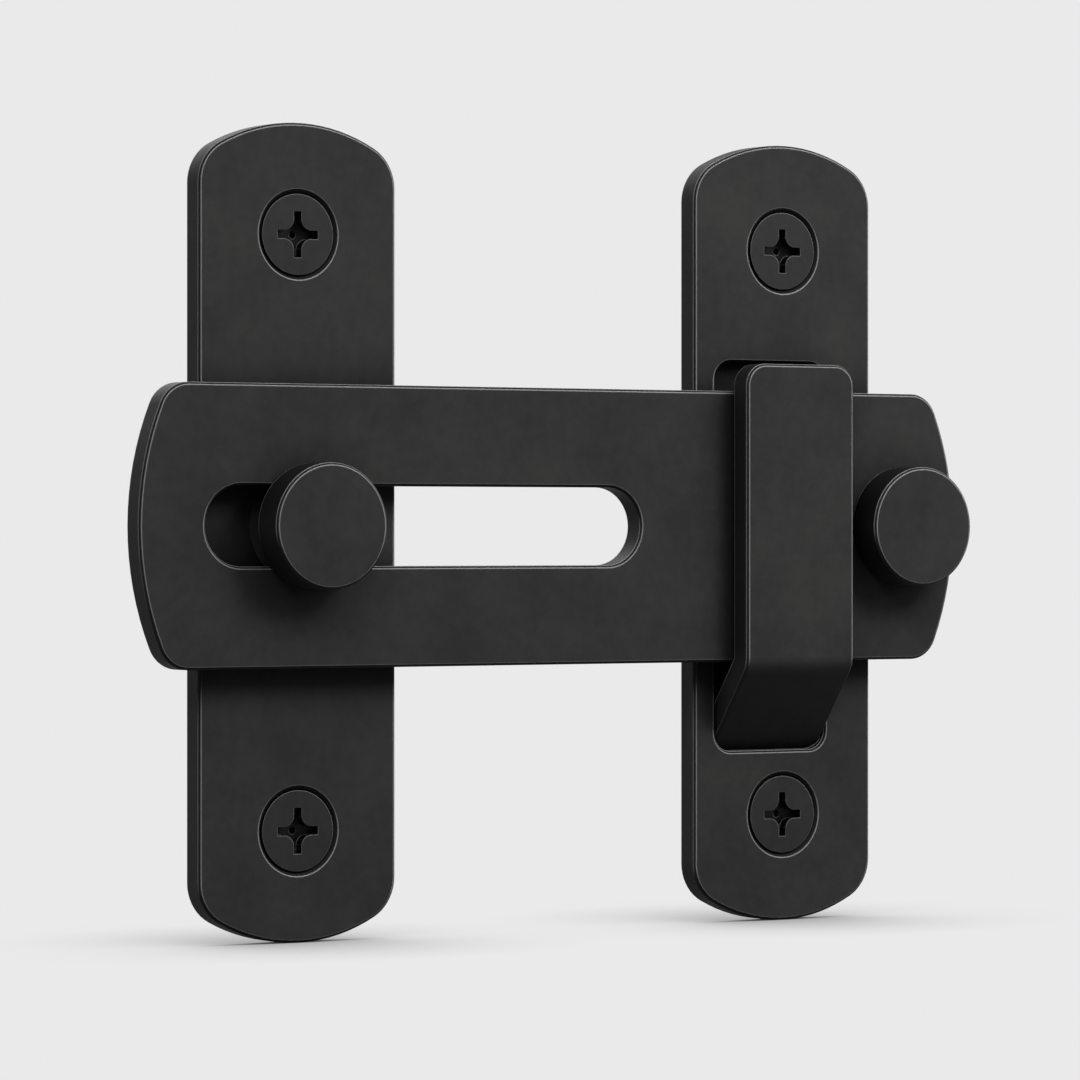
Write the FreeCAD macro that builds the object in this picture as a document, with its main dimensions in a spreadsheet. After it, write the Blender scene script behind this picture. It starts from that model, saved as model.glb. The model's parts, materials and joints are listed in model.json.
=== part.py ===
import FreeCAD, Part
import math
import os

import Sketcher

# A swing-and-slide bar latch for a pair of doors, in millimetres.
#
# The origin is on the back of the pivot plate, on the axis of the pivot knob. X runs along the
# closed bar towards the keeper, Y into the door, and Z up, so the front of the latch faces -Y.

SIZES = [
    ("plate_height", 99.0, "both mounting plates, tip to tip"),
    ("plate_width", 27.2, "both mounting plates"),
    ("plate_thickness", 3.0, "both plates and the hook"),
    ("plate_bow", 22.6, "radius of a plate's bowed end"),
    ("plate_corner", 5.5, "radius between a plate's bowed end and its side"),
    ("stud_rise", 0.8, "pivot axis above the middle of the plates"),
    ("edge_chamfer", 0.3, "chamfer along the front edges of the plates, the hook and the bar"),
    ("bar_width", 34.2, "bar, top to bottom"),
    ("bar_thickness", 3.0, "bar"),
    ("bar_left", 23.4, "pivot axis to the bar's left tip"),
    ("bar_right", 95.6, "pivot axis to the bar's right tip"),
    ("bar_overhang", 24.6, "middle of the keeper plate to the bar's right tip"),
    ("bar_bow", 38.0, "radius of the bar's bowed ends"),
    ("bar_corner", 4.0, "radius between a bowed end and a long side of the bar"),
    ("slot_left", 14.5, "pivot axis to the slot's left end"),
    ("slot_keeper_gap", 10.3, "slot's right end to the near side of the keeper plate"),
    ("slot_play", 0.3, "shoulder of the pivot knob to each side of the slot"),
    ("shoulder_diameter", 9.1, "shoulder of the pivot knob, which runs in the slot"),
    ("washer_ring", 2.1, "width of the ring of both nylon washers"),
    ("washer_thickness", 0.3, "both nylon washers"),
    ("washer_play", 0.05, "each face of a washer to its neighbour"),
    ("washer_bore_play", 0.2, "shoulder to the bore of a washer"),
    ("knob_diameter", 15.2, "heads of both knobs"),
    ("knob_thickness", 4.6, "head of the pivot knob"),
    ("knob_chamfer", 0.3, "chamfer of a knob's front edge"),
    ("pull_knob_inset", 8.5, "middle of the pull knob to the bar's right tip"),
    ("hook_offset", 1.95, "hook's middle from the keeper plate's, towards the pivot"),
    ("hook_width", 16.4, "hook"),
    ("hook_corner", 2.8, "radius of the hook's two top corners"),
    ("hook_clearance", 0.5, "front of the bar to the inside of the hook"),
    ("hook_slope", 38.0, "degrees between the hook's lower part and the upright"),
    ("hook_bend", 0.5, "inside radius of the bend above the slope"),
    ("hook_seat", 0.2, "closed bar above the slope that it comes to rest on"),
    ("hook_root", 1.4, "back of the plate to where the hook runs into the end of its hollow"),
    ("hook_drop", 0.4, "top of the hook below the top of its hollow"),
    ("hollow_top", 21.7, "middle of the keeper plate to the top of the hollow behind the hook"),
    ("hollow_play", 0.25, "side of the hook to the side of its hollow"),
    ("hollow_corner", 2.4, "radius of the hollow's corners"),
    ("hollow_floor", 1.0, "metal left behind the hollow"),
    ("screw_inset", 13.5, "middle of a mounting screw to the nearer tip of its plate"),
    ("wood_head", 9.8, "head of a mounting screw"),
    ("wood_shank", 4.8, "shank of a mounting screw"),
    ("wood_length", 19.0, "mounting screw, from its face to its point"),
    ("wood_point", 2.5, "length of a mounting screw's point"),
    ("wood_tip", 1.8, "flat at the end of the point"),
    ("wood_sink", 0.15, "face of a mounting screw below the front of the plate"),
    ("wood_rim_gap", 0.6, "edge of its head to the rim of the countersink"),
    ("wood_hole_play", 0.3, "its shank to the hole in the plate"),
    ("machine_head", 7.5, "head of the machine screws in the knobs"),
    ("machine_shank", 4.0, "machine screws, over the thread"),
    ("machine_sink", 0.1, "face of a machine screw below the surface round it"),
    ("machine_rim_gap", 0.35, "edge of its head to the rim of the countersink"),
    ("machine_hole_play", 0.2, "machine screw to the hole in the plate or the bar"),
    ("seat_play", 0.02, "screw head to the countersink that it seats in"),
    ("thread_play", 0.02, "machine screw to the threaded bore of its knob"),
    ("thread_chamfer", 0.6, "chamfer at the end of a machine screw"),
    ("pivot_screw_length", 8.0, "machine screw in the pivot knob"),
    ("pull_screw_length", 5.0, "machine screw in the pull knob"),
    ("bore_spare", 0.5, "threaded bore past the end of its screw"),
    ("recess_reach", 2.8, "middle of a mounting screw's recess to the tip of a wing"),
    ("recess_wing", 1.05, "width of a recess wing"),
    ("recess_depth", 1.4, "wings of a recess"),
    ("flare_reach", 1.7, "middle of the recess to where two wings flare together"),
    ("flare_radius", 1.4, "radius of the flare between two wings"),
    ("pit_diameter", 2.6, "cone in the middle of a recess, at the head's face"),
    ("pit_depth", 2.2, "cone in the middle of a recess"),
    ("machine_recess", 0.8, "a machine screw's recess over a mounting screw's"),
    ("cut_over", 1.0, "how far a cutting profile runs past the surface it cuts"),
]

# distances behind the front or in front of the doors, worked out from the sizes
WASHER_ROOM = "(sizes.washer_thickness + 2 * sizes.washer_play)"
BAR_BACK = f"(sizes.plate_thickness + {WASHER_ROOM})"
BAR_FRONT = f"({BAR_BACK} + sizes.bar_thickness)"
KNOB_BACK = f"({BAR_FRONT} + {WASHER_ROOM})"
KNOB_FRONT = f"({KNOB_BACK} + sizes.knob_thickness)"
HOOK_INSIDE = f"({BAR_FRONT} + sizes.hook_clearance)"
HOOK_FRONT = f"({HOOK_INSIDE} + sizes.plate_thickness)"

# places along the bar, from the pivot axis
KEEPER_MIDDLE = "(sizes.bar_right - sizes.bar_overhang)"
PULL_KNOB_MIDDLE = "(sizes.bar_right - sizes.pull_knob_inset)"
SLOT_RIGHT = f"({KEEPER_MIDDLE} - sizes.plate_width / 2 - sizes.slot_keeper_gap)"

# heights on the plates, from their middle
SCREW_HEIGHT = "(sizes.plate_height / 2 - sizes.screw_inset)"
SCREW_ROWS = (("upper", SCREW_HEIGHT), ("lower", f"-{SCREW_HEIGHT}"))
SLOPE = "tan(sizes.hook_slope * 1 deg)"
INNER_BEND = (
    "(sizes.stud_rise - sizes.bar_width / 2 - sizes.hook_seat"
    f" + sizes.hook_clearance / {SLOPE})"
)
OUTER_BEND = f"({INNER_BEND} - sizes.plate_thickness * tan(sizes.hook_slope * 0.5 deg))"
HOLLOW_BOTTOM = f"({OUTER_BEND} - ({HOOK_FRONT} - sizes.hook_root) / {SLOPE})"
HOOK_TOP = "(sizes.hollow_top - sizes.hook_drop)"

TO_FRONT = FreeCAD.Rotation(FreeCAD.Vector(1, 0, 0), 90)
TO_BACK = FreeCAD.Rotation(FreeCAD.Vector(1, 0, 0), -90)
QUARTER_TURN = -90
SKETCH_ORIGIN = (-1, 1)

doc = FreeCAD.newDocument("door_lock")
sheet = doc.addObject("Spreadsheet::Sheet", "sizes")
for row, (alias, number, note) in enumerate(SIZES, start=1):
    sheet.set(f"A{row}", note)
    sheet.set(f"B{row}", str(number))
    sheet.setAlias(f"B{row}", alias)
doc.recompute()


def value(expression):
    """The number that an expression over the sheet gives."""
    found = sheet.evalExpression(expression)
    return float(getattr(found, "Value", found))


def negative(expression):
    """The same expression with its sign turned, and turned back the second time."""
    return expression[2:-1] if expression.startswith("-(") else f"-({expression})"


def near(one, other):
    return abs(one - other) < 1e-4


def new_body(label, rotation=None, x="0", y="0", z="0"):
    """A body with its own label, whose place follows the sheet."""
    body = doc.addObject("PartDesign::Body", label)
    body.Label = label
    if rotation:
        body.Placement = FreeCAD.Placement(FreeCAD.Vector(), rotation)
    for name, expression in (("x", x), ("y", y), ("z", z)):
        body.setExpression(f"Placement.Base.{name}", expression)
    return body


def new_sketch(body, name, role, turned=0, x="0", z="0"):
    """A sketch on one of the body's origin planes, turned, and shifted in that plane's axes."""
    sketch = body.newObject("Sketcher::SketchObject", f"{body.Label}_{name}")
    plane = next(f for f in body.Origin.OriginFeatures if f.Role == role)
    sketch.AttachmentSupport = [(plane, "")]
    sketch.MapMode = "FlatFace"
    spin = FreeCAD.Rotation(FreeCAD.Vector(0, 0, 1), turned)
    sketch.AttachmentOffset = FreeCAD.Placement(FreeCAD.Vector(), spin)
    sketch.setExpression("AttachmentOffset.Base.x", x)
    sketch.setExpression("AttachmentOffset.Base.z", z)
    return sketch


def bind(sketch, name, constraint, expression):
    """Adds a named dimension that follows the sheet."""
    index = sketch.addConstraint(constraint)
    sketch.renameConstraint(index, name)
    sketch.setExpression(f"Constraints.{name}", expression)


def arc_between(start, end, radius, to_left):
    """The arc from start to end whose middle lies to the left, or right, of the chord."""
    chord = end - start
    aside = FreeCAD.Vector(-chord.y, chord.x, 0).normalize() * (1 if to_left else -1)
    rise = radius - math.sqrt(radius**2 - chord.Length**2 / 4)
    return Part.Arc(start, start + chord / 2 + aside * rise, end)


def draw(sketch, corners, arcs=None):
    """Draws a closed outline through corners, each an (across, up) pair of expressions.

    arcs gives, for the side that starts at a corner's number, (radius, whether it bows to the
    left). Two corners in a row that share an expression make their side upright or level.
    """
    arcs = arcs or {}
    points = [FreeCAD.Vector(value(across), value(up), 0) for across, up in corners]
    starts = []
    for side, start in enumerate(points):
        end = points[(side + 1) % len(points)]
        if side in arcs:
            radius, to_left = arcs[side]
            sketch.addGeometry(arc_between(start, end, value(radius), to_left))
        else:
            sketch.addGeometry(Part.LineSegment(start, end))
        first = sketch.getPoint(side, 1).isEqual(start, 1e-6)
        starts.append((side, 1 if first else 2))
    for side, point in starts:
        following = starts[(side + 1) % len(points)]
        sketch.addConstraint(Sketcher.Constraint("Coincident", side, 3 - point, *following))
        if side in arcs:
            radius = arcs[side][0]
            bind(sketch, f"bow{side}", Sketcher.Constraint("Radius", side, value(radius)), radius)
    for number, (across, up) in enumerate(corners):
        straight = number > 0 and number - 1 not in arcs
        if straight and across == corners[number - 1][0]:
            sketch.addConstraint(Sketcher.Constraint("Vertical", number - 1))
        else:
            held = Sketcher.Constraint(
                "DistanceX", *SKETCH_ORIGIN, *starts[number], points[number].x
            )
            bind(sketch, f"across{number}", held, across)
        if straight and up == corners[number - 1][1]:
            sketch.addConstraint(Sketcher.Constraint("Horizontal", number - 1))
        else:
            held = Sketcher.Constraint(
                "DistanceY", *SKETCH_ORIGIN, *starts[number], points[number].y
            )
            bind(sketch, f"up{number}", held, up)
    return sketch


def draw_slot(sketch, low, high, radius):
    """Draws a round-ended slot along the sketch's first axis, from low to high."""
    reach = value(radius)
    centres = [f"({low}) + {radius}", f"({high}) - {radius}"]
    left, right = (value(centre) for centre in centres)
    up = FreeCAD.Vector(0, 0, 1)
    ends = ((left, math.pi / 2, 1.5 * math.pi), (right, -math.pi / 2, math.pi / 2))
    for place, first, last in ends:
        circle = Part.Circle(FreeCAD.Vector(place, 0, 0), up, reach)
        sketch.addGeometry(Part.ArcOfCircle(circle, first, last))
    for height in (reach, -reach):
        start, end = FreeCAD.Vector(left, height, 0), FreeCAD.Vector(right, height, 0)
        sketch.addGeometry(Part.LineSegment(start, end))
    for line, left_end, right_end in ((2, 1, 2), (3, 2, 1)):
        sketch.addConstraint(Sketcher.Constraint("Tangent", 0, left_end, line, 1))
        sketch.addConstraint(Sketcher.Constraint("Tangent", 1, right_end, line, 2))
    sketch.addConstraint(Sketcher.Constraint("Equal", 0, 1))
    bind(sketch, "reach", Sketcher.Constraint("Radius", 0, reach), radius)
    for end, centre in enumerate(centres):
        across = Sketcher.Constraint("DistanceX", *SKETCH_ORIGIN, end, 3, value(centre))
        bind(sketch, f"centre{end}", across, centre)
        sketch.addConstraint(Sketcher.Constraint("PointOnObject", end, 3, -1))
    return sketch


def pad(body, sketch, length, midplane=False):
    """Thickens a sketch into the body."""
    feature = body.newObject("PartDesign::Pad", f"{sketch.Name}_pad")
    feature.Profile = sketch
    feature.Midplane = midplane
    feature.setExpression("Length", length)
    doc.recompute()
    return feature


def check_cut(body, before, feature):
    """Stops the build where a cut has taken nothing away."""
    if body.Shape.Volume > before - 1e-6:
        raise RuntimeError(f"{feature.Name} cuts nothing from {body.Label}")


def pocket(body, sketch, length=None):
    """Cuts a sketch out of the body: to a depth along the sketch's normal, or right through."""
    before = body.Shape.Volume
    feature = body.newObject("PartDesign::Pocket", f"{sketch.Name}_pocket")
    feature.Profile = sketch
    if length:
        feature.Reversed = True
        feature.setExpression("Length", length)
    else:
        feature.Type = "ThroughAll"
        feature.Midplane = True
    doc.recompute()
    check_cut(body, before, feature)
    return feature


def revolve(body, sketch):
    """Turns a sketch about its own upright axis into the body."""
    feature = body.newObject("PartDesign::Revolution", f"{sketch.Name}_turned")
    feature.Profile = sketch
    feature.ReferenceAxis = (sketch, ["V_Axis"])
    feature.Angle = 360.0
    doc.recompute()
    return feature


def groove(body, sketch):
    """Cuts a sketch, turned about its own upright axis, out of the body."""
    before = body.Shape.Volume
    feature = body.newObject("PartDesign::Groove", f"{sketch.Name}_groove")
    feature.Profile = sketch
    feature.ReferenceAxis = (sketch, ["V_Axis"])
    feature.Angle = 360.0
    doc.recompute()
    check_cut(body, before, feature)
    return feature


def dress(body, name, kind, setting, size, test):
    """Adds a fillet or chamfer to the edges whose ends and middle all pass the test."""
    base = body.Tip
    names = []
    for number, edge in enumerate(base.Shape.Edges, start=1):
        first, last = edge.ParameterRange
        points = [edge.valueAt(first + (last - first) * share) for share in (0, 0.5, 1)]
        if test(*points):
            names.append(f"Edge{number}")
    if not names:
        raise RuntimeError(f"{name} finds no edge of {body.Label}")
    feature = body.newObject(f"PartDesign::{kind}", f"{body.Label}_{name}")
    feature.Base = (base, names)
    feature.setExpression(setting, size)
    doc.recompute()


def fillet(body, name, radius, test):
    dress(body, name, "Fillet", "Radius", radius, test)


def chamfer(body, name, size, test):
    dress(body, name, "Chamfer", "Size", size, test)


def through_sheet(first, middle, last):
    """True of an edge that runs straight back from the front of a plate."""
    return near(first.x, last.x) and near(first.z, last.z) and not near(first.y, last.y)


def on_front(thickness):
    """A test for edges that lie in the front face of a plate."""
    depth = value(thickness)
    return lambda *points: all(near(point.y, -depth) for point in points)


def bowed_strip(body, width, above, below, bow, thickness, corner, turned=0):
    """A flat strip with straight sides, bowed ends and rounded corners, from Y=0 to the front.

    above and below are the distances from the body's origin to the strip's two tips.
    """
    half = f"{width} / 2"
    sagitta = f"({bow} - sqrt({bow} ^ 2 - ({half}) ^ 2))"
    top = f"({above}) - {sagitta}"
    bottom = f"-(({below}) - {sagitta})"
    corners = [(half, bottom), (half, top), (negative(half), top), (negative(half), bottom)]
    sketch = new_sketch(body, "outline", "XZ_Plane", turned)
    draw(sketch, corners, {1: (bow, False), 3: (bow, False)})
    pad(body, sketch, thickness)
    fillet(body, "corners", corner, through_sheet)


def countersunk_hole(body, name, thickness, kind, x="0", z="0", from_front=True):
    """A countersunk hole through a plate, for a screw of the given kind, wood or machine."""
    rim = f"(sizes.{kind}_head / 2 + sizes.{kind}_rim_gap + sizes.seat_play)"
    hole = f"(sizes.{kind}_shank / 2 + sizes.{kind}_hole_play)"
    mouth, inward = (f"-({thickness})", "1") if from_front else ("0", "-1")
    outside = f"({mouth}) - ({inward}) * sizes.cut_over"
    throat = f"({mouth}) + ({inward}) * ({rim} - {hole})"
    beyond = f"({mouth}) + ({inward}) * ({thickness} + sizes.cut_over)"
    corners = [
        ("0", outside),
        (rim, outside),
        (rim, mouth),
        (hole, throat),
        (hole, beyond),
        ("0", beyond),
    ]
    groove(body, draw(new_sketch(body, name, "XY_Plane", x=x, z=z), corners))


def build_pivot_plate():
    body = new_body("pivot_plate", z="-sizes.stud_rise")
    thickness = "sizes.plate_thickness"
    tip = "sizes.plate_height / 2"
    bowed_strip(
        body, "sizes.plate_width", tip, tip, "sizes.plate_bow", thickness, "sizes.plate_corner"
    )
    chamfer(body, "front_edges", "sizes.edge_chamfer", on_front(thickness))
    for name, height in SCREW_ROWS:
        countersunk_hole(body, f"{name}_hole", thickness, "wood", z=height)
    countersunk_hole(
        body, "stud_hole", thickness, "machine", z="sizes.stud_rise", from_front=False
    )
    return body


def build_hook():
    """The hook by itself, in the keeper plate's own frame: a strip that slopes, then stands.

    Its foot ends half way into the metal behind the hollow.
    """
    body = new_body("hook")
    inside, front = negative(HOOK_INSIDE), negative(HOOK_FRONT)
    foot = "sizes.hollow_floor / 2"
    corners = [
        (front, HOOK_TOP),
        (front, OUTER_BEND),
        (negative(foot), f"{OUTER_BEND} - ({HOOK_FRONT} - {foot}) / {SLOPE}"),
        (negative(foot), f"{INNER_BEND} - ({HOOK_INSIDE} - {foot}) / {SLOPE}"),
        (inside, INNER_BEND),
        (inside, HOOK_TOP),
    ]
    side = draw(new_sketch(body, "side", "YZ_Plane", z="-sizes.hook_offset"), corners)
    pad(body, side, "sizes.hook_width", midplane=True)
    bends = (
        ("inner_bend", HOOK_INSIDE, INNER_BEND, "sizes.hook_bend"),
        ("outer_bend", HOOK_FRONT, OUTER_BEND, "sizes.hook_bend + sizes.plate_thickness"),
    )
    for name, ahead, height, radius in bends:
        y, z = -value(ahead), value(height)
        fillet(
            body,
            name,
            radius,
            lambda *points: all(near(p.y, y) and near(p.z, z) for p in points),
        )
    top, forward = value(HOOK_TOP), -value(HOOK_FRONT)
    fillet(
        body,
        "top_corners",
        "sizes.hook_corner",
        lambda *points: through_sheet(*points) and near(points[0].z, top),
    )
    chamfer(
        body,
        "front_edges",
        "sizes.edge_chamfer",
        lambda *points: all(near(p.y, forward) and near(p.z, top) for p in points),
    )
    return body


def build_keeper_plate():
    """The plate, cast with a hook that rises out of a hollow in its front."""
    body = new_body("keeper_plate", x=KEEPER_MIDDLE, z="-sizes.stud_rise")
    thickness = "sizes.plate_thickness"
    tip = "sizes.plate_height / 2"
    bowed_strip(
        body, "sizes.plate_width", tip, tip, "sizes.plate_bow", thickness, "sizes.plate_corner"
    )
    half = "(sizes.hook_width / 2 + sizes.hollow_play)"
    left, right = f"-sizes.hook_offset - {half}", f"-sizes.hook_offset + {half}"
    corners = [
        (left, HOLLOW_BOTTOM),
        (right, HOLLOW_BOTTOM),
        (right, "sizes.hollow_top"),
        (left, "sizes.hollow_top"),
    ]
    hollow = draw(new_sketch(body, "hollow", "XZ_Plane", z="sizes.hollow_floor"), corners)
    pocket(body, hollow, thickness)
    sides = (value(left), value(right))
    fillet(
        body,
        "hollow_corners",
        "sizes.hollow_corner",
        lambda *points: through_sheet(*points) and any(near(points[0].x, s) for s in sides),
    )
    chamfer(body, "front_edges", "sizes.edge_chamfer", on_front(thickness))
    joined = body.newObject("PartDesign::Boolean", "keeper_plate_with_hook")
    joined.Type = "Fuse"
    joined.Group = [build_hook()]
    doc.recompute()
    for name, height in SCREW_ROWS:
        countersunk_hole(body, f"{name}_hole", thickness, "wood", z=height)
    return body


def build_slide_bar():
    body = new_body("slide_bar", y=negative(BAR_BACK))
    thickness = "sizes.bar_thickness"
    bowed_strip(
        body,
        "sizes.bar_width",
        "sizes.bar_right",
        "sizes.bar_left",
        "sizes.bar_bow",
        thickness,
        "sizes.bar_corner",
        QUARTER_TURN,
    )
    slot = new_sketch(body, "slot", "XZ_Plane")
    radius = "(sizes.shoulder_diameter / 2 + sizes.slot_play)"
    pocket(body, draw_slot(slot, "-sizes.slot_left", SLOT_RIGHT, radius))
    chamfer(body, "front_edges", "sizes.edge_chamfer", on_front(thickness))
    countersunk_hole(
        body, "pull_hole", thickness, "machine", x=PULL_KNOB_MIDDLE, from_front=False
    )
    return body


def threaded_bore(screw_length, sheet_thickness):
    """The bore's radius and depth in a knob that sits on a sheet with its screw behind it."""
    radius = "(sizes.machine_shank / 2 + sizes.thread_play)"
    depth = (
        f"(sizes.machine_sink + {screw_length} + sizes.bore_spare - {sheet_thickness})"
    )
    return radius, depth


def build_knob(label, y, x, sheet_thickness, screw_length, back, face, shoulder=None):
    """A turned knob, its head from back to face, with a shoulder behind the head or none."""
    body = new_body(label, TO_FRONT, x=x, y=y)
    radius, depth = threaded_bore(screw_length, sheet_thickness)
    rim = "sizes.knob_diameter / 2"
    neck = [(shoulder, "0"), (shoulder, back)] if shoulder else []
    outline = [
        (radius, "0"),
        *neck,
        (rim, back),
        (rim, f"{face} - sizes.knob_chamfer"),
        (f"{rim} - sizes.knob_chamfer", face),
        ("0", face),
        ("0", depth),
        (radius, depth),
    ]
    revolve(body, draw(new_sketch(body, "half", "XZ_Plane"), outline))
    return body


def build_pivot_knob():
    """A head in front of the bar, and a shoulder that runs in the slot and seats on the plate."""
    return build_knob(
        "pivot_knob",
        "-sizes.plate_thickness",
        "0",
        "sizes.plate_thickness",
        "sizes.pivot_screw_length",
        f"({KNOB_BACK} - sizes.plate_thickness)",
        f"({KNOB_FRONT} - sizes.plate_thickness)",
        shoulder="sizes.shoulder_diameter / 2",
    )


def build_pull_knob():
    """A plain head that seats on the bar, its face level with that of the pivot knob."""
    return build_knob(
        "pull_knob",
        negative(BAR_FRONT),
        PULL_KNOB_MIDDLE,
        "sizes.bar_thickness",
        "sizes.pull_screw_length",
        "0",
        f"({KNOB_FRONT} - {BAR_FRONT})",
    )


def build_washer(label, back):
    """A nylon washer whose back is at the given distance in front of the doors."""
    body = new_body(label, TO_FRONT, y=negative(f"{back} + sizes.washer_play"))
    sketch = new_sketch(body, "ring", "XY_Plane")
    bore = "(sizes.shoulder_diameter + 2 * sizes.washer_bore_play)"
    rings = {"rim": f"({bore} + 2 * sizes.washer_ring)", "bore": bore}
    for number, (name, diameter) in enumerate(rings.items()):
        circle = Part.Circle(
            FreeCAD.Vector(), FreeCAD.Vector(0, 0, 1), value(diameter) / 2
        )
        sketch.addGeometry(circle)
        sketch.addConstraint(Sketcher.Constraint("Coincident", number, 3, *SKETCH_ORIGIN))
        bind(
            sketch,
            name,
            Sketcher.Constraint("Diameter", number, value(diameter)),
            diameter,
        )
    pad(body, sketch, "sizes.washer_thickness")
    return body


def cut_cross_recess(body, share):
    """A cross recess with flared corners and a cone in its middle, share of full size."""
    reach, flare = f"sizes.recess_reach * {share}", f"sizes.flare_reach * {share}"
    half_wing = f"sizes.recess_wing * {share} / 2"
    wing = [
        (flare, negative(half_wing)),
        (reach, negative(half_wing)),
        (reach, half_wing),
        (flare, half_wing),
    ]
    corners, arcs = [], {}
    for _ in range(4):
        corners += wing
        arcs[len(corners) - 1] = (f"sizes.flare_radius * {share}", True)
        wing = [(negative(up), across) for across, up in wing]
    cross = draw(new_sketch(body, "cross", "XY_Plane"), corners, arcs)
    pocket(body, cross, f"sizes.recess_depth * {share}")
    pit_rim = f"sizes.pit_diameter * {share} / 2"
    pit = [
        ("0", "-sizes.cut_over"),
        (pit_rim, "-sizes.cut_over"),
        (pit_rim, "0"),
        ("0", f"sizes.pit_depth * {share}"),
    ]
    groove(body, draw(new_sketch(body, "pit", "XZ_Plane"), pit))


def build_screw(label, kind, rotation, length, end, share, x="0", y="0", z="0"):
    """A countersunk screw. end is the half outline of its tip, after the straight shank."""
    body = new_body(label, rotation, x=x, y=y, z=z)
    head, shank = f"sizes.{kind}_head / 2", f"sizes.{kind}_shank / 2"
    land = f"(sizes.{kind}_rim_gap - sizes.{kind}_sink)"
    outline = [
        ("0", "0"),
        (head, "0"),
        (head, land),
        (shank, f"{land} + {head} - {shank}"),
        *end(shank, length),
    ]
    revolve(body, draw(new_sketch(body, "half", "XZ_Plane"), outline))
    cut_cross_recess(body, share)
    return body


def pointed_end(shank, length):
    return [
        (shank, f"{length} - sizes.wood_point"),
        ("sizes.wood_tip / 2", length),
        ("0", length),
    ]


def chamfered_end(shank, length):
    chamfer = "sizes.thread_chamfer"
    return [
        (shank, f"{length} - {chamfer}"),
        (f"{shank} - {chamfer}", length),
        ("0", length),
    ]


def build_mounting_screws():
    """The four wood screws, two through each plate, pointing into the doors."""
    columns = (("pivot_plate", "0"), ("keeper_plate", KEEPER_MIDDLE))
    return [
        build_screw(
            f"{plate}_screw_{name}",
            "wood",
            TO_BACK,
            "sizes.wood_length",
            pointed_end,
            "1",
            x=x,
            y="-(sizes.plate_thickness - sizes.wood_sink)",
            z=f"{height} - sizes.stud_rise",
        )
        for plate, x in columns
        for name, height in SCREW_ROWS
    ]


def build_knob_screws():
    """The two machine screws that hold the knobs, from behind the plate and behind the bar."""
    pivot_screw = build_screw(
        "pivot_screw",
        "machine",
        TO_FRONT,
        "sizes.pivot_screw_length",
        chamfered_end,
        "sizes.machine_recess",
        y="-sizes.machine_sink",
    )
    pull_screw = build_screw(
        "pull_screw",
        "machine",
        TO_FRONT,
        "sizes.pull_screw_length",
        chamfered_end,
        "sizes.machine_recess",
        x=PULL_KNOB_MIDDLE,
        y=negative(f"{BAR_BACK} + sizes.machine_sink"),
    )
    return [pivot_screw, pull_screw]


def check_document(pieces):
    """Stops the build where any object failed, or any piece is not one sound solid."""
    failed = [o.Name for o in doc.Objects if {"Invalid", "Error"} & set(o.State)]
    if failed:
        raise RuntimeError(f"these objects failed to build: {failed}")
    for piece in pieces:
        shape = piece.Shape
        if shape.isNull() or not shape.isValid() or len(shape.Solids) != 1:
            raise RuntimeError(f"{piece.Label} is not one valid solid")


pieces = [
    build_pivot_plate(),
    build_keeper_plate(),
    build_slide_bar(),
    build_pivot_knob(),
    build_pull_knob(),
    build_washer("rear_washer", "sizes.plate_thickness"),
    build_washer("front_washer", BAR_FRONT),
    *build_mounting_screws(),
    *build_knob_screws(),
]
doc.recompute()
check_document(pieces)

os.makedirs("parts", exist_ok=True)
for piece in pieces:
    piece.Shape.exportStep(f"parts/{piece.Label}.step")
    box = piece.Shape.BoundBox
    print(
        f"{piece.Label}: {piece.Shape.Volume:.1f} mm3,"
        f" x {box.XMin:.2f} to {box.XMax:.2f},"
        f" y {box.YMin:.2f} to {box.YMax:.2f},"
        f" z {box.ZMin:.2f} to {box.ZMax:.2f}"
    )
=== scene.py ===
import json
import math

import bmesh
import bpy
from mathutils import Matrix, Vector


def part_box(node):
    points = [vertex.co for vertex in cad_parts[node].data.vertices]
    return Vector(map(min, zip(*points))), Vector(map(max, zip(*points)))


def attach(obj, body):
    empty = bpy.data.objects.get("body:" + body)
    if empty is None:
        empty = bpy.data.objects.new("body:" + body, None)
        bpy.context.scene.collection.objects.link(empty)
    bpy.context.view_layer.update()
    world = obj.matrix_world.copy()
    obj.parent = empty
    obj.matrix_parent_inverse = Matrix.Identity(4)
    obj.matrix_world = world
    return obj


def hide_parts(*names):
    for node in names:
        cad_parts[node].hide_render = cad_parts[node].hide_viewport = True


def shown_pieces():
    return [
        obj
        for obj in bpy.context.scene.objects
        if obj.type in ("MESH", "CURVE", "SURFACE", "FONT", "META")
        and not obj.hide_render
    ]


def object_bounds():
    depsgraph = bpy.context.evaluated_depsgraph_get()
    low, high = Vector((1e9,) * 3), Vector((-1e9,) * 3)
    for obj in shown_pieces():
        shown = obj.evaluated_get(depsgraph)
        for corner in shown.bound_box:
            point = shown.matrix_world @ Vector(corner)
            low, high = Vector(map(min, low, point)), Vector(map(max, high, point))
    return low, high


# A black flip latch, seen from its left at the height of the bar. Lengths are in metres.

MM = 0.001

# the camera, worked out from the photograph, whose frame is 1080 pixels square, and the nearest
# distance that it shows
CAMERA_PLACE = (-0.30931, -0.55342, -0.00082)
CAMERA_TURN = 31.981
LENS = 174.2
SENSOR = 36.0
SHIFT_UP = -0.00656
NEAREST_SEEN = 10 * MM

# tones, as linear values
BACKDROP = 0.823
COAT = 0.0252
KNOB_COAT = 0.0252
SCREW_COAT = 0.022
NYLON = 0.020
# the painted highlights on edges: on the sheet and knobs, and on the screws
EDGE_HIGHLIGHT = 0.26
SCREW_EDGE_HIGHLIGHT = 0.13

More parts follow.
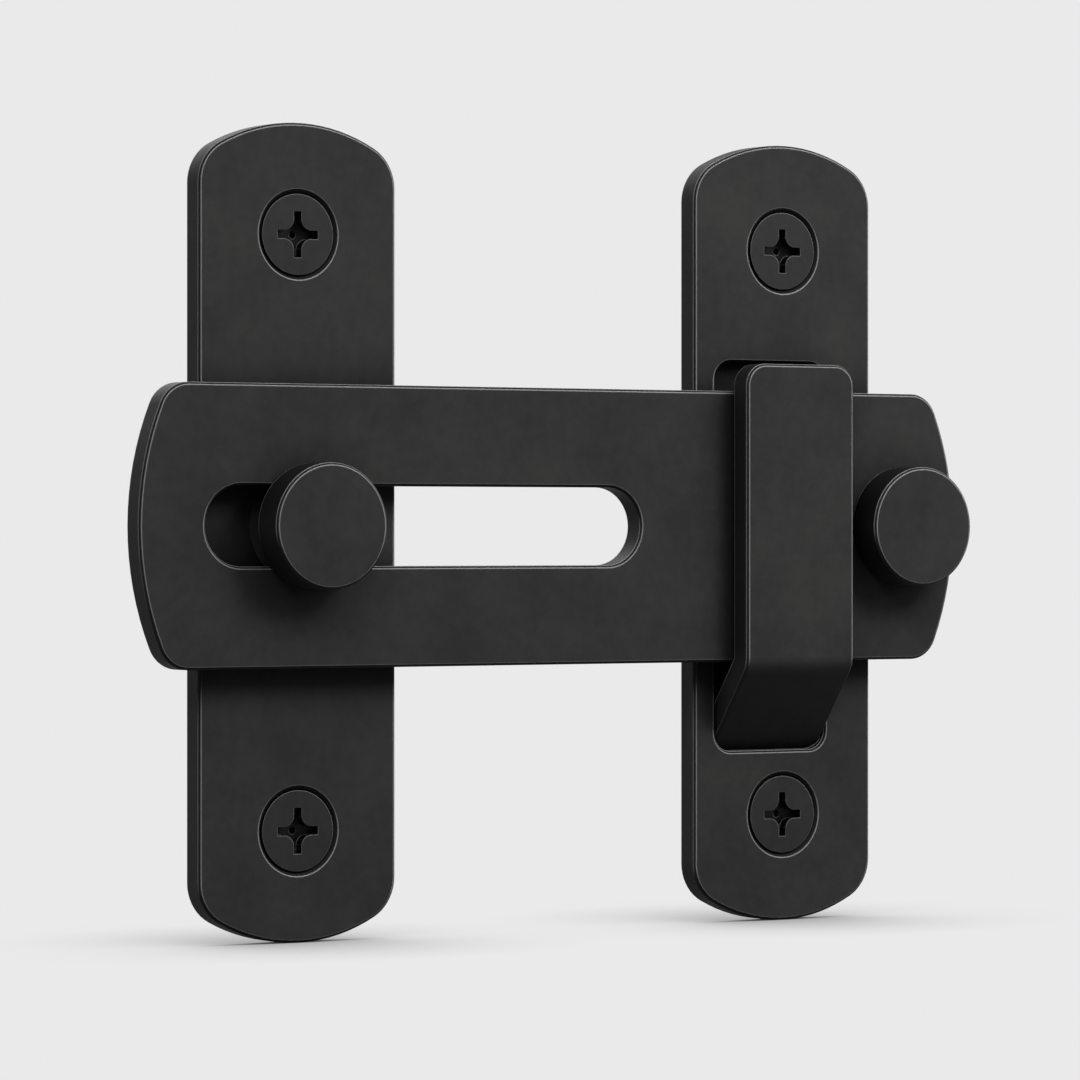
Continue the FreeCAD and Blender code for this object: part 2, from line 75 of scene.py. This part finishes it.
# gloss: how strongly each surface reflects, how rough it is, and how far its roughness varies
COAT_SHINE = 0.10
COAT_ROUGHNESS = 0.68
SCREW_ROUGHNESS = 0.42
ROUGHNESS_SPREAD = 0.03
NYLON_SHINE = 0.4
NYLON_ROUGHNESS = (0.38, 0.48)

# each noise's features a metre and its number of finer layers
BROAD_BLOTCHES = (90, 4)
FINE_BLOTCHES = (750, 3)
SMEARS = (260, 3)
GRAIN = (5200, 2)
PEEL = (900, 2)
NYLON_BLOTCHES = (400, 3)
NYLON_SMEARS = (1500, 2)

# how strong a noise's finer layers are, and the middle of its range, which noise_from spreads
NOISE_FALLOFF = 0.6
NOISE_MIDDLE = (0.3, 0.7)

# the fine blotches' and the peel's strength next to the broad blotches' and the grain's
FINE_SHARE = 0.5
PEEL_SHARE = 0.5

# the darkest and lightest blotches as shares of the tone: in red, green and blue on the coat, and
# in all three on the nylon
DARK_BLOTCH = (0.80, 0.80, 0.82)
LIGHT_BLOTCH = (1.20, 1.20, 1.17)
NYLON_DARK = 0.9
NYLON_LIGHT = 1.1

# the relief of the coat, how wide its edges look rounded, and the rays that feel for edges and corners
SHEET_GRAIN = 0.03 * MM
KNOB_GRAIN = 0.025 * MM
SCREW_GRAIN = 0.02 * MM
GRAIN_STRENGTH = 0.35
SOFT_EDGE = 0.2 * MM
SCREW_SOFT_EDGE = 0.1 * MM
SURFACE_SAMPLES = 8

# the painted highlight on edges: the turn of the normal at which an edge is fully lit, the share of
# its cosine's fall at which the highlight begins, and the upward parts of the normal between which
# it fades in
EDGE_TURN = math.radians(6)
EDGE_START = 0.15
EDGE_UPWARD = (-0.28, -0.06)

# chamfers, known by the forward part of their normal, and how dark the painted shade on them is
CHAMFER_LEAN = (0.68, 0.74)
CHAMFER_SHADE = 0.45

# painted shade where surfaces close in: how near two surfaces face each other where it falls, how
# open the place is where it is darkest and where there is none, and how dark it gets
CORNER_REACH = 6 * MM
CORNER_OPENNESS = (0.2, 0.96)
CORNER_SHADE = 0.08
KNOB_CORNER_SHADE = 0.25

# sides, known by a normal with at most this forward part, and how dark the painted shade on them is
SIDE_LEAN = 0.3
KNOB_SIDE_SHADE = 0.5
PLAIN_SIDE_SHADE = 1.0

# how dark the painted shade is on faces turned down or up, by the upward part of their normal
TURN_SHADES = (
    (-1.0, 0.25), (-0.62, 0.40), (-0.10, 1.0), (0.0, 1.0), (0.35, 0.50), (0.80, 0.40),
)

# the floor of a hollow in a plate: the depth that it lies behind, how far its normal may be from
# forward, and how dark the painted shade on it is
HOLLOW_DEPTH = -2.6 * MM
HOLLOW_LEAN = 0.05
HOLLOW_SHADE = 0.25

# a mounting screw, from its head to its point
HEAD_HEIGHT = 2.95 * MM
THREAD_RUNOUT = 1.3 * MM
THREAD_OUTER = 2.4 * MM
THREAD_PITCH = 1.95 * MM
THREAD_END = THREAD_PITCH / 3
THREAD_STEPS = 40
POINT_LENGTH = 5 * MM
POINT_RADIUS = 0.25 * MM

# the core's share of the thread's radius, and the ridge's root just inside the core
CORE_SHARE = 0.69
ROOT_SHARE = 0.92

# half the ridge's width as a share of the pitch, what is left of it at the point, and its crest's share
FOOT_SHARE = 0.26
POINT_FOOT = 0.4
CREST_SHARE = 0.12

SHARP_ANGLE = math.radians(30)
TINY = 1e-6

# the light that the sky gives, level and overhead
SKY_LOW = 0.036
SKY_HIGH = 0.06

# the floor's tone to other light, its darkest contact shadow, its half width, its gap below the
# plates, how far the contact shadow reaches, and the rays that find it
FLOOR_BOUNCE = 0.05
FLOOR_DARKEST = 0.02
FLOOR_REACH = 12
FLOOR_GAP = 0.02 * MM
CONTACT_REACH = 30 * MM
FLOOR_SAMPLES = 16

# what the soft boxes aim at, and for each its place, its size, and its power in watts
LAMP_TARGET = (0.035, 0, 0)
SOFT_BOXES = {
    "right": ((0.74, -0.42, 0.34), (0.4, 0.4), 1.4),
    "right_near": ((0.20, -0.27, 0.24), (0.15, 0.15), 0.95),
    "right_high": ((0.50, -0.50, 0.60), (0.3, 0.3), 1.5),
    "overhead": ((0.10, -0.45, 0.75), (0.5, 0.4), 2.9),
    "left_high": ((-0.45, -0.45, 0.60), (0.3, 0.3), 2.3),
    "behind": ((0.10, 0.90, 0.45), (0.6, 0.4), 6.0),
}

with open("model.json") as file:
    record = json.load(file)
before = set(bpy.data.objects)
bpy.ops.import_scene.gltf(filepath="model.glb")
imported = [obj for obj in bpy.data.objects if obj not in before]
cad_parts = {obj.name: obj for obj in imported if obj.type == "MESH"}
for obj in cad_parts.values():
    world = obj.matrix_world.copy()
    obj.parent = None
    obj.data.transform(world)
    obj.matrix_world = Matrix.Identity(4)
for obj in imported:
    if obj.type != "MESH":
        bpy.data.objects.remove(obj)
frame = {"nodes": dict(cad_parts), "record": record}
cad_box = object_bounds()
nodes = frame["nodes"]


def node_body(name):
    """The moving body that carries a node."""
    bodies = frame["record"]["behaviour"]["bodies"]
    return next(body for body, carried in bodies.items() if name in carried)


def new_material(name):
    """An empty node material and its principled shader."""
    material = bpy.data.materials.new(name)
    material.use_nodes = True
    shader = material.node_tree.nodes["Principled BSDF"]
    return material, shader


def add_node(material, kind, **settings):
    """A new node of a kind, with its settings."""
    node = material.node_tree.nodes.new(kind)
    for key, setting in settings.items():
        setattr(node, key, setting)
    return node


def tinted(tone, shares):
    """A colour whose channels are shares of a tone."""
    return (*(tone * share for share in shares), 1)


def noise(material, pattern, coordinates):
    """Noise of a pattern, which is its features a metre and its number of finer layers."""
    scale, detail = pattern
    texture = add_node(material, "ShaderNodeTexNoise")
    texture.inputs["Scale"].default_value = scale
    texture.inputs["Detail"].default_value = detail
    texture.inputs["Roughness"].default_value = NOISE_FALLOFF
    material.node_tree.links.new(coordinates, texture.inputs["Vector"])
    return texture.outputs["Fac"]


def separate(material, vector):
    """A vector's X, Y and Z."""
    split = add_node(material, "ShaderNodeSeparateXYZ")
    material.node_tree.links.new(vector, split.inputs[0])
    return split.outputs


def ranged(material, source, from_range, to_range):
    """The source's range mapped linearly, and held at its ends."""
    spread = add_node(material, "ShaderNodeMapRange")
    sockets = ("From Min", "From Max", "To Min", "To Max")
    for socket, number in zip(sockets, (*from_range, *to_range)):
        spread.inputs[socket].default_value = number
    material.node_tree.links.new(source, spread.inputs["Value"])
    return spread.outputs["Result"]


def noise_from(material, pattern, coordinates, low, high):
    """Noise of a pattern, its middle range spread from low to high."""
    return ranged(material, noise(material, pattern, coordinates), NOISE_MIDDLE, (low, high))


def product(material, one, other):
    """One value times the other."""
    times = add_node(material, "ShaderNodeMath", operation="MULTIPLY")
    material.node_tree.links.new(one, times.inputs[0])
    material.node_tree.links.new(other, times.inputs[1])
    return times.outputs[0]


def highlight_share(material, rounded):
    """Where the painted edge highlight lies: 1 where the rounded normal turns away from the surface's
    own, but not on edges that look down.
    """
    surface = add_node(material, "ShaderNodeNewGeometry").outputs["Normal"]
    align = add_node(material, "ShaderNodeVectorMath", operation="DOT_PRODUCT")
    material.node_tree.links.new(rounded, align.inputs[0])
    material.node_tree.links.new(surface, align.inputs[1])
    full = math.cos(EDGE_TURN)
    begins = 1 - (1 - full) * EDGE_START
    turned = ranged(material, align.outputs["Value"], (begins, full), (0, 1))
    own = add_node(material, "ShaderNodeVectorTransform", vector_type="NORMAL")
    own.convert_from, own.convert_to = "WORLD", "OBJECT"
    material.node_tree.links.new(rounded, own.inputs[0])
    upward = separate(material, own.outputs[0])["Z"]
    return product(material, turned, ranged(material, upward, EDGE_UPWARD, (0, 1)))


def facing(material, lean, width):
    """1 where the forward part of a piece's own normal is within a width of lean, and 0 elsewhere."""
    own = add_node(material, "ShaderNodeTexCoord").outputs["Normal"]
    near = add_node(material, "ShaderNodeMath", operation="COMPARE")
    near.inputs[1].default_value = -lean
    near.inputs[2].default_value = width
    material.node_tree.links.new(separate(material, own)["Y"], near.inputs[0])
    return near.outputs[0]


def painted_turn_shade(material):
    """Painted shade by how far a face is turned up or down, in the piece's own frame."""
    own = add_node(material, "ShaderNodeTexCoord").outputs["Normal"]
    upward = separate(material, own)["Z"]
    ramp = add_node(material, "ShaderNodeValToRGB")
    stops = ramp.color_ramp.elements
    while len(stops) < len(TURN_SHADES):
        stops.new(1.0)
    for stop, (turn, shade) in zip(stops, TURN_SHADES):
        stop.position = (turn + 1) / 2
        stop.color = (shade, shade, shade, 1)
    material.node_tree.links.new(ranged(material, upward, (-1, 1), (0, 1)), ramp.inputs["Fac"])
    return ramp.outputs["Color"]


def painted_corner_shade(material, darkest):
    """Painted shade where two surfaces face each other at close range."""
    close = add_node(material, "ShaderNodeAmbientOcclusion", samples=SURFACE_SAMPLES)
    close.inputs["Distance"].default_value = CORNER_REACH
    return ranged(material, close.outputs["AO"], CORNER_OPENNESS, (darkest, 1))


def painted_hollow_shade(material, place):
    """Painted shade on the front-looking floor of a hollow in a plate."""
    deep = add_node(material, "ShaderNodeMath", operation="GREATER_THAN")
    deep.inputs[1].default_value = HOLLOW_DEPTH
    material.node_tree.links.new(separate(material, place)["Y"], deep.inputs[0])
    floor = product(material, deep.outputs[0], facing(material, 1, HOLLOW_LEAN))
    return ranged(material, floor, (0, 1), (1, HOLLOW_SHADE))


def blotched(material, place, tone):
    """A tone with broad and fine blotches."""
    blotches = add_node(material, "ShaderNodeMath", operation="MULTIPLY_ADD")
    blotches.inputs[1].default_value = FINE_SHARE
    link = material.node_tree.links.new
    link(noise_from(material, FINE_BLOTCHES, place, -0.5, 0.5), blotches.inputs[0])
    link(noise_from(material, BROAD_BLOTCHES, place, 0, 1), blotches.inputs[2])
    mix = add_node(material, "ShaderNodeMix", data_type="RGBA")
    mix.inputs["A"].default_value = tinted(tone, DARK_BLOTCH)
    mix.inputs["B"].default_value = tinted(tone, LIGHT_BLOTCH)
    link(blotches.outputs[0], mix.inputs["Factor"])
    return mix.outputs["Result"]


def painted_shading(material, place, corner_shade, side_shade):
    """Painted shade on the coat, by where it lies and which way it faces on its piece."""
    # painted shade on chamfers
    lean = sum(CHAMFER_LEAN) / 2
    chamfer = facing(material, lean, CHAMFER_LEAN[1] - lean)
    shade = ranged(material, chamfer, (0, 1), (1, CHAMFER_SHADE))
    shade = product(material, shade, painted_turn_shade(material))
    shade = product(material, shade, painted_corner_shade(material, corner_shade))
    shade = product(material, shade, painted_hollow_shade(material, place))
    # painted shade on sides
    side = facing(material, 0, SIDE_LEAN)
    return product(material, shade, ranged(material, side, (0, 1), (1, side_shade)))


def add_grain(material, shader, place, rounded, depth):
    """Gives the shader rounded edges with a fine grain and a coarser peel."""
    link = material.node_tree.links.new
    grain = noise(material, GRAIN, place)
    peel = noise(material, PEEL, place)
    both = add_node(material, "ShaderNodeMath", operation="MULTIPLY_ADD")
    both.inputs[1].default_value = PEEL_SHARE
    link(peel, both.inputs[0])
    link(grain, both.inputs[2])
    bump = add_node(material, "ShaderNodeBump")
    bump.inputs["Strength"].default_value = GRAIN_STRENGTH
    bump.inputs["Distance"].default_value = depth
    link(both.outputs[0], bump.inputs["Height"])
    link(rounded, bump.inputs["Normal"])
    link(bump.outputs["Normal"], shader.inputs["Normal"])


def powder_coat(name, tone, roughness, grain, soft_edge, corner_shade, side_shade, edge_highlight):
    """A matte black powder coat: faint blotches, a fine grain, softened edges with a painted highlight,
    and painted shade.
    """
    material, shader = new_material(name)
    link = material.node_tree.links.new
    place = add_node(material, "ShaderNodeTexCoord").outputs["Object"]
    bevel = add_node(material, "ShaderNodeBevel", samples=SURFACE_SAMPLES)
    bevel.inputs["Radius"].default_value = soft_edge
    rounded = bevel.outputs["Normal"]

    # the blotched tone times the painted shade
    shaded = add_node(material, "ShaderNodeMix", data_type="RGBA", blend_type="MULTIPLY")
    shaded.inputs["Factor"].default_value = 1.0
    link(blotched(material, place, tone), shaded.inputs["A"])
    link(painted_shading(material, place, corner_shade, side_shade), shaded.inputs["B"])
    # the painted highlight along the edges, laid over the painted shade
    highlighted = add_node(material, "ShaderNodeMix", data_type="RGBA")
    highlighted.inputs["B"].default_value = (edge_highlight, edge_highlight, edge_highlight, 1)
    link(highlight_share(material, rounded), highlighted.inputs["Factor"])
    link(shaded.outputs["Result"], highlighted.inputs["A"])
    link(highlighted.outputs["Result"], shader.inputs["Base Color"])

    smooth, rough = roughness - ROUGHNESS_SPREAD, roughness + ROUGHNESS_SPREAD
    link(noise_from(material, SMEARS, place, smooth, rough), shader.inputs["Roughness"])
    add_grain(material, shader, place, rounded, grain)
    shader.inputs["Specular IOR Level"].default_value = COAT_SHINE
    return material


def moulded_nylon(name, tone):
    """Plain black nylon, smoother and glossier than the coated sheet."""
    material, shader = new_material(name)
    link = material.node_tree.links.new
    place = add_node(material, "ShaderNodeTexCoord").outputs["Object"]
    mix = add_node(material, "ShaderNodeMix", data_type="RGBA")
    mix.inputs["A"].default_value = tinted(tone, (NYLON_DARK,) * 3)
    mix.inputs["B"].default_value = tinted(tone, (NYLON_LIGHT,) * 3)
    link(noise_from(material, NYLON_BLOTCHES, place, 0, 1), mix.inputs["Factor"])
    link(mix.outputs["Result"], shader.inputs["Base Color"])
    link(noise_from(material, NYLON_SMEARS, place, *NYLON_ROUGHNESS), shader.inputs["Roughness"])
    shader.inputs["Specular IOR Level"].default_value = NYLON_SHINE
    return material


def thread_radius(along, tip):
    """The thread's outer radius at a place along a screw, drawn in towards its tip."""
    return POINT_RADIUS + (THREAD_OUTER - POINT_RADIUS) * min(1, (tip - along) / POINT_LENGTH)


def draw_in(shape, middle, start, tip):
    """Draws a screw's shank in to the core of its thread, from start to the tip."""
    for place in (start, tip - POINT_LENGTH):
        every_part = shape.verts[:] + shape.edges[:] + shape.faces[:]
        bmesh.ops.bisect_plane(shape, geom=every_part, plane_co=(0, place, 0), plane_no=(0, 1, 0))
    for vertex in shape.verts:
        across = Vector((vertex.co.x - middle.x, 0, vertex.co.z - middle.z))
        if vertex.co.y > start - TINY and across.length > TINY:
            core = thread_radius(vertex.co.y, tip) * CORE_SHARE
            vertex.co += across.normalized() * (core - across.length)


def add_thread(shape, middle, start, tip):
    """Winds a ridge with two sloping flanks round a screw's core, fading out at both ends."""
    end = tip - THREAD_END
    steps = round((end - start) / THREAD_PITCH * THREAD_STEPS)
    rings = []
    for step in range(steps + 1):
        along = start + (end - start) * step / steps
        outer = thread_radius(along, tip)
        inner = outer * CORE_SHARE * ROOT_SHARE
        risen = min(1, step / THREAD_STEPS, (steps - step) / THREAD_STEPS)
        crest = inner + (outer - inner) * risen
        foot = THREAD_PITCH * FOOT_SHARE * (POINT_FOOT + (1 - POINT_FOOT) * outer / THREAD_OUTER)
        flat = foot * CREST_SHARE
        turn = math.tau * step / THREAD_STEPS
        across = Vector((math.cos(turn), 0, math.sin(turn)))
        profile = ((inner, -foot), (crest, -flat), (crest, flat), (inner, foot))
        rings.append([
            shape.verts.new(Vector((middle.x, along + shift, middle.z)) + across * radius)
            for radius, shift in profile
        ])
    ridge = [shape.faces.new(rings[0]), shape.faces.new(reversed(rings[-1]))]
    for one, other in zip(rings, rings[1:]):
        for side in range(len(one)):
            after = (side + 1) % len(one)
            ridge.append(shape.faces.new((one[side], other[side], other[after], one[after])))
    bmesh.ops.recalc_face_normals(shape, faces=ridge)


def threaded_screw(name):
    """A mounting screw with its node's own head and recess, and a thread on a thinner core."""
    low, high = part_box(name)
    middle = (low + high) / 2
    shape = bmesh.new()
    shape.from_mesh(nodes[name].data)
    shank = low.y + HEAD_HEIGHT
    draw_in(shape, middle, shank + THREAD_RUNOUT, high.y)
    add_thread(shape, middle, shank + THREAD_RUNOUT / 2, high.y)
    mesh = bpy.data.meshes.new(f"{name}_threaded")
    shape.to_mesh(mesh)
    shape.free()
    mesh.materials.clear()
    mesh.materials.append(screw_coat)
    mesh.set_sharp_from_angle(angle=SHARP_ANGLE)
    piece = bpy.data.objects.new(f"{name}_threaded", mesh)
    bpy.context.scene.collection.objects.link(piece)
    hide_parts(name)
    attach(piece, node_body(name))


def dress(names, material):
    """Gives CAD nodes a material."""
    for name in names:
        mesh = nodes[name].data
        mesh.materials.clear()
        mesh.materials.append(material)


def add_camera():
    """The photograph's camera, level and turned to its right."""
    data = bpy.data.cameras.new("camera")
    data.lens = LENS
    data.sensor_width = SENSOR
    data.shift_y = SHIFT_UP
    data.clip_start = NEAREST_SEEN
    camera = bpy.data.objects.new("camera", data)
    camera.location = CAMERA_PLACE
    camera.rotation_euler = (math.radians(90), 0, -math.radians(CAMERA_TURN))
    bpy.context.scene.collection.objects.link(camera)
    bpy.context.scene.camera = camera


def add_lamp(name, place, size, power):
    """A rectangular soft box at a place, aimed at the latch, which lights nothing else."""
    data = bpy.data.lights.new(name, "AREA")
    data.shape = "RECTANGLE"
    data.size, data.size_y = size
    data.energy = power
    lamp = bpy.data.objects.new(name, data)
    lamp.location = place
    aim = Vector(LAMP_TARGET) - Vector(place)
    lamp.rotation_euler = aim.to_track_quat("-Z", "Y").to_euler()
    lamp.visible_camera = False
    lamp.light_linking.receiver_collection = latch_pieces
    bpy.context.scene.collection.objects.link(lamp)


def seen_directly(tree):
    """1 for rays from the camera, from a reflection or through glass, and 0 for other light."""
    path = tree.nodes.new("ShaderNodeLightPath")
    total = path.outputs["Is Camera Ray"]
    for name in ("Is Glossy Ray", "Is Transmission Ray"):
        either = tree.nodes.new("ShaderNodeMath")
        either.operation = "MAXIMUM"
        tree.links.new(total, either.inputs[0])
        tree.links.new(path.outputs[name], either.inputs[1])
        total = either.outputs[0]
    return total


def add_world():
    """A pale backdrop all round, and for the light that it gives, a sky brighter overhead."""
    world = bpy.data.worlds.new("surround")
    world.use_nodes = True
    world.cycles.sampling_method = "NONE"
    bpy.context.scene.world = world
    tree = world.node_tree
    output = tree.nodes["World Output"]
    backdrop = tree.nodes["Background"]
    backdrop.inputs["Color"].default_value = (BACKDROP, BACKDROP, BACKDROP, 1)

    split = tree.nodes.new("ShaderNodeSeparateXYZ")
    tree.links.new(tree.nodes.new("ShaderNodeTexCoord").outputs["Generated"], split.inputs[0])
    height = tree.nodes.new("ShaderNodeMapRange")
    height.inputs["From Min"].default_value = 0
    height.inputs["To Min"].default_value = SKY_LOW
    height.inputs["To Max"].default_value = SKY_HIGH
    tree.links.new(split.outputs["Z"], height.inputs["Value"])
    sky = tree.nodes.new("ShaderNodeBackground")
    tree.links.new(height.outputs["Result"], sky.inputs["Strength"])

    mix = tree.nodes.new("ShaderNodeMixShader")
    tree.links.new(seen_directly(tree), mix.inputs["Fac"])
    tree.links.new(sky.outputs[0], mix.inputs[1])
    tree.links.new(backdrop.outputs[0], mix.inputs[2])
    tree.links.new(mix.outputs[0], output.inputs["Surface"])


def add_floor():
    """A wide floor under the plates' lower ends that shows the backdrop, dimmed near the latch.

    That dimming is the contact shadow. The floor stops no lamp and hides nothing, so a bar that
    swings lower than the plates is still lit and seen. Other light finds it dark.
    """
    low = cad_box[0][2] - FLOOR_GAP
    mesh = bpy.data.meshes.new("floor")
    corners = [(x * FLOOR_REACH, y * FLOOR_REACH, low) for x, y in ((-1, -1), (1, -1), (1, 1), (-1, 1))]
    mesh.from_pydata(corners, [], [(0, 1, 2, 3)])
    floor = bpy.data.objects.new("floor", mesh)
    floor.visible_shadow = False
    bpy.context.scene.collection.objects.link(floor)
    material, shader = new_material("floor_paper")
    link = material.node_tree.links.new
    shader.inputs["Base Color"].default_value = (FLOOR_BOUNCE, FLOOR_BOUNCE, FLOOR_BOUNCE, 1)
    shader.inputs["Roughness"].default_value = 1.0
    shader.inputs["Specular IOR Level"].default_value = 0.0

    contact = add_node(material, "ShaderNodeAmbientOcclusion", samples=FLOOR_SAMPLES)
    contact.inputs["Distance"].default_value = CONTACT_REACH
    shadow = ranged(material, contact.outputs["AO"], (0, 1), (FLOOR_DARKEST, 1))
    clear = add_node(material, "ShaderNodeBsdfTransparent")
    link(shadow, clear.inputs["Color"])
    mix = add_node(material, "ShaderNodeMixShader")
    link(seen_directly(material.node_tree), mix.inputs["Fac"])
    link(shader.outputs["BSDF"], mix.inputs[1])
    link(clear.outputs["BSDF"], mix.inputs[2])
    output = material.node_tree.nodes["Material Output"]
    link(mix.outputs["Shader"], output.inputs["Surface"])
    mesh.materials.append(material)


def add_lights():
    """All the soft boxes."""
    for name, (place, size, power) in SOFT_BOXES.items():
        add_lamp(name, place, size, power)


def sort_latch_pieces():
    """A collection of every shown piece of the latch, which the lamps light."""
    collection = bpy.data.collections.new("latch_pieces")
    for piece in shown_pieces():
        collection.objects.link(piece)
    return collection


coat = powder_coat(
    "coated_sheet", tone=COAT, roughness=COAT_ROUGHNESS, grain=SHEET_GRAIN, soft_edge=SOFT_EDGE,
    corner_shade=CORNER_SHADE, side_shade=PLAIN_SIDE_SHADE, edge_highlight=EDGE_HIGHLIGHT,
)
knob_coat = powder_coat(
    "coated_knob", tone=KNOB_COAT, roughness=COAT_ROUGHNESS, grain=KNOB_GRAIN, soft_edge=SOFT_EDGE,
    corner_shade=KNOB_CORNER_SHADE, side_shade=KNOB_SIDE_SHADE, edge_highlight=EDGE_HIGHLIGHT,
)
screw_coat = powder_coat(
    "blackened_screw", tone=SCREW_COAT, roughness=SCREW_ROUGHNESS, grain=SCREW_GRAIN,
    soft_edge=SCREW_SOFT_EDGE, corner_shade=CORNER_SHADE, side_shade=PLAIN_SIDE_SHADE, edge_highlight=SCREW_EDGE_HIGHLIGHT,
)
nylon = moulded_nylon("nylon", NYLON)

screws = [name for name in nodes if "_screw" in name]
dress(["pivot_plate", "keeper_plate", "slide_bar"], coat)
dress(["pivot_knob", "pull_knob"], knob_coat)
dress(screws, screw_coat)
dress(["rear_washer", "front_washer"], nylon)
for plate in ("pivot_plate", "keeper_plate"):
    for row in ("upper", "lower"):
        threaded_screw(f"{plate}_screw_{row}")

add_camera()
add_world()
latch_pieces = sort_latch_pieces()
add_lights()
add_floor()
bpy.context.scene.view_settings.view_transform = "Standard"
